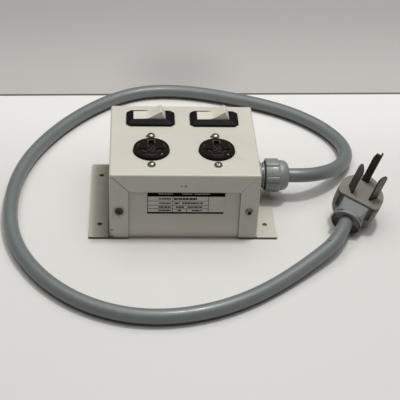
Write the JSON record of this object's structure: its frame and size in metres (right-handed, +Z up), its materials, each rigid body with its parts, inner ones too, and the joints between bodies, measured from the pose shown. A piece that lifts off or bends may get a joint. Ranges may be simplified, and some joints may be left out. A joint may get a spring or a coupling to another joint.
{
  "type": "switched power outlet box with surge module",
  "caption": "Painted sheet-metal power box with round outlets, rocker breakers, mounting flanges, and a cord through a gland to an angled plug.",
  "frame": {"origin": "centre of the box footprint, on the surface that the box stands on", "axes": "+X to the side that the cord leaves, which is the right seen from the front; +Y from the label panel to the back; +Z up, out of the outlets"},
  "size_m": [0.3796, 0.4038, 0.0895],
  "materials": {
    "paint_beige": "fine-textured powder coat, satin",
    "paint_chassis": "fine-textured powder coat, satin, scuffed",
    "plastic_black": "moulded, slightly glossy",
    "bakelite_brown": "moulded phenolic, worn",
    "plastic_ivory": "moulded, aged ivory",
    "nylon_grey": "moulded nylon, satin",
    "pvc_grey": "satin jacket, flexible",
    "plug_grey": "moulded vinyl, matt",
    "nickel": "nickel plated, tarnished",
    "zinc_steel": "zinc plated",
    "brass": "bright",
    "brass_tarnished": "heavily tarnished",
    "rubber_black": "matt",
    "board_green": "circuit board",
    "varistor_blue": "epoxy coated disc",
    "label_foil": "printed label with plain bars and a blank grid",
    "wire_black": "wire insulation",
    "wire_white": "wire insulation",
    "wire_green": "wire insulation"
  },
  "bodies": {
    "box": {"base_chassis": "paint_chassis", "breaker_left_bezel": "plastic_black", "breaker_left_housing": "plastic_black", "breaker_left_pivot_pin": "zinc_steel", "breaker_left_terminal_a": "brass", "breaker_left_terminal_b": "brass", "breaker_right_bezel": "plastic_black", "breaker_right_housing": "plastic_black", "breaker_right_pivot_pin": "zinc_steel", "breaker_right_terminal_a": "brass", "breaker_right_terminal_b": "brass", "cord": "pvc_grey", "cover_screw_back_left": "nickel", "cover_screw_back_right": "nickel", "cover_screw_front_left": "nickel", "cover_screw_front_right": "nickel", "cover_shell": "paint_beige", "gland_body": "nylon_grey", "gland_dome_nut": "nylon_grey", "gland_locknut": "nylon_grey", "gland_seal": "rubber_black", "gland_washer": "rubber_black", "ground_nut": "zinc_steel", "ground_stud": "zinc_steel", "nameplate": "label_foil", "outlet_left_body": "bakelite_brown", "outlet_left_contact_a": "brass", "outlet_left_contact_b": "brass", "outlet_left_contact_ground": "brass", "outlet_left_face": "bakelite_brown", "outlet_left_screw_back": "nickel", "outlet_left_screw_front": "nickel", "outlet_left_strap": "zinc_steel", "outlet_right_body": "bakelite_brown", "outlet_right_contact_a": "brass", "outlet_right_contact_b": "brass", "outlet_right_contact_ground": "brass", "outlet_right_face": "bakelite_brown", "outlet_right_screw_back": "nickel", "outlet_right_screw_front": "nickel", "outlet_right_strap": "zinc_steel", "plug_blade_left": "brass_tarnished", "plug_blade_neutral": "brass_tarnished", "plug_blade_right": "brass_tarnished", "plug_body": "plug_grey", "plug_face": "plug_grey", "surge_board": "board_green", "surge_varistor_1": "varistor_blue", "surge_varistor_2": "varistor_blue", "surge_varistor_3": "varistor_blue", "terminal_block": "plastic_black", "wire_ground": "wire_green", "wire_hot": "wire_black", "wire_neutral": "wire_white"},
    "rocker_left": {"breaker_left_rocker": "plastic_ivory"},
    "rocker_right": {"breaker_right_rocker": "plastic_ivory"},
    "arm_left": {"breaker_left_contact_arm": "brass"},
    "arm_right": {"breaker_right_contact_arm": "brass"}
  },
  "joints": [
    {"name": "rocker_left_tilt", "type": "hinge", "parent": "box", "child": "rocker_left", "pos_m": [-0.0332, 0.0354, 0.0772], "axis": [0, 1, 0], "range_deg": [0, 34]},
    {"name": "rocker_right_tilt", "type": "hinge", "parent": "box", "child": "rocker_right", "pos_m": [0.0312, 0.0354, 0.0772], "axis": [0, 1, 0], "range_deg": [0, 34]},
    {"name": "arm_left_tilt", "type": "hinge", "parent": "box", "child": "arm_left", "pos_m": [-0.0332, 0.0354, 0.058], "axis": [0, 1, 0], "range_deg": [-17, 0]},
    {"name": "arm_right_tilt", "type": "hinge", "parent": "box", "child": "arm_right", "pos_m": [0.0312, 0.0354, 0.058], "axis": [0, 1, 0], "range_deg": [-17, 0]}
  ],
  "couplings": [
    {"joint": "arm_left_tilt", "follows": "rocker_left_tilt", "ratio": -0.5},
    {"joint": "arm_right_tilt", "follows": "rocker_right_tilt", "ratio": -0.5}
  ]
}
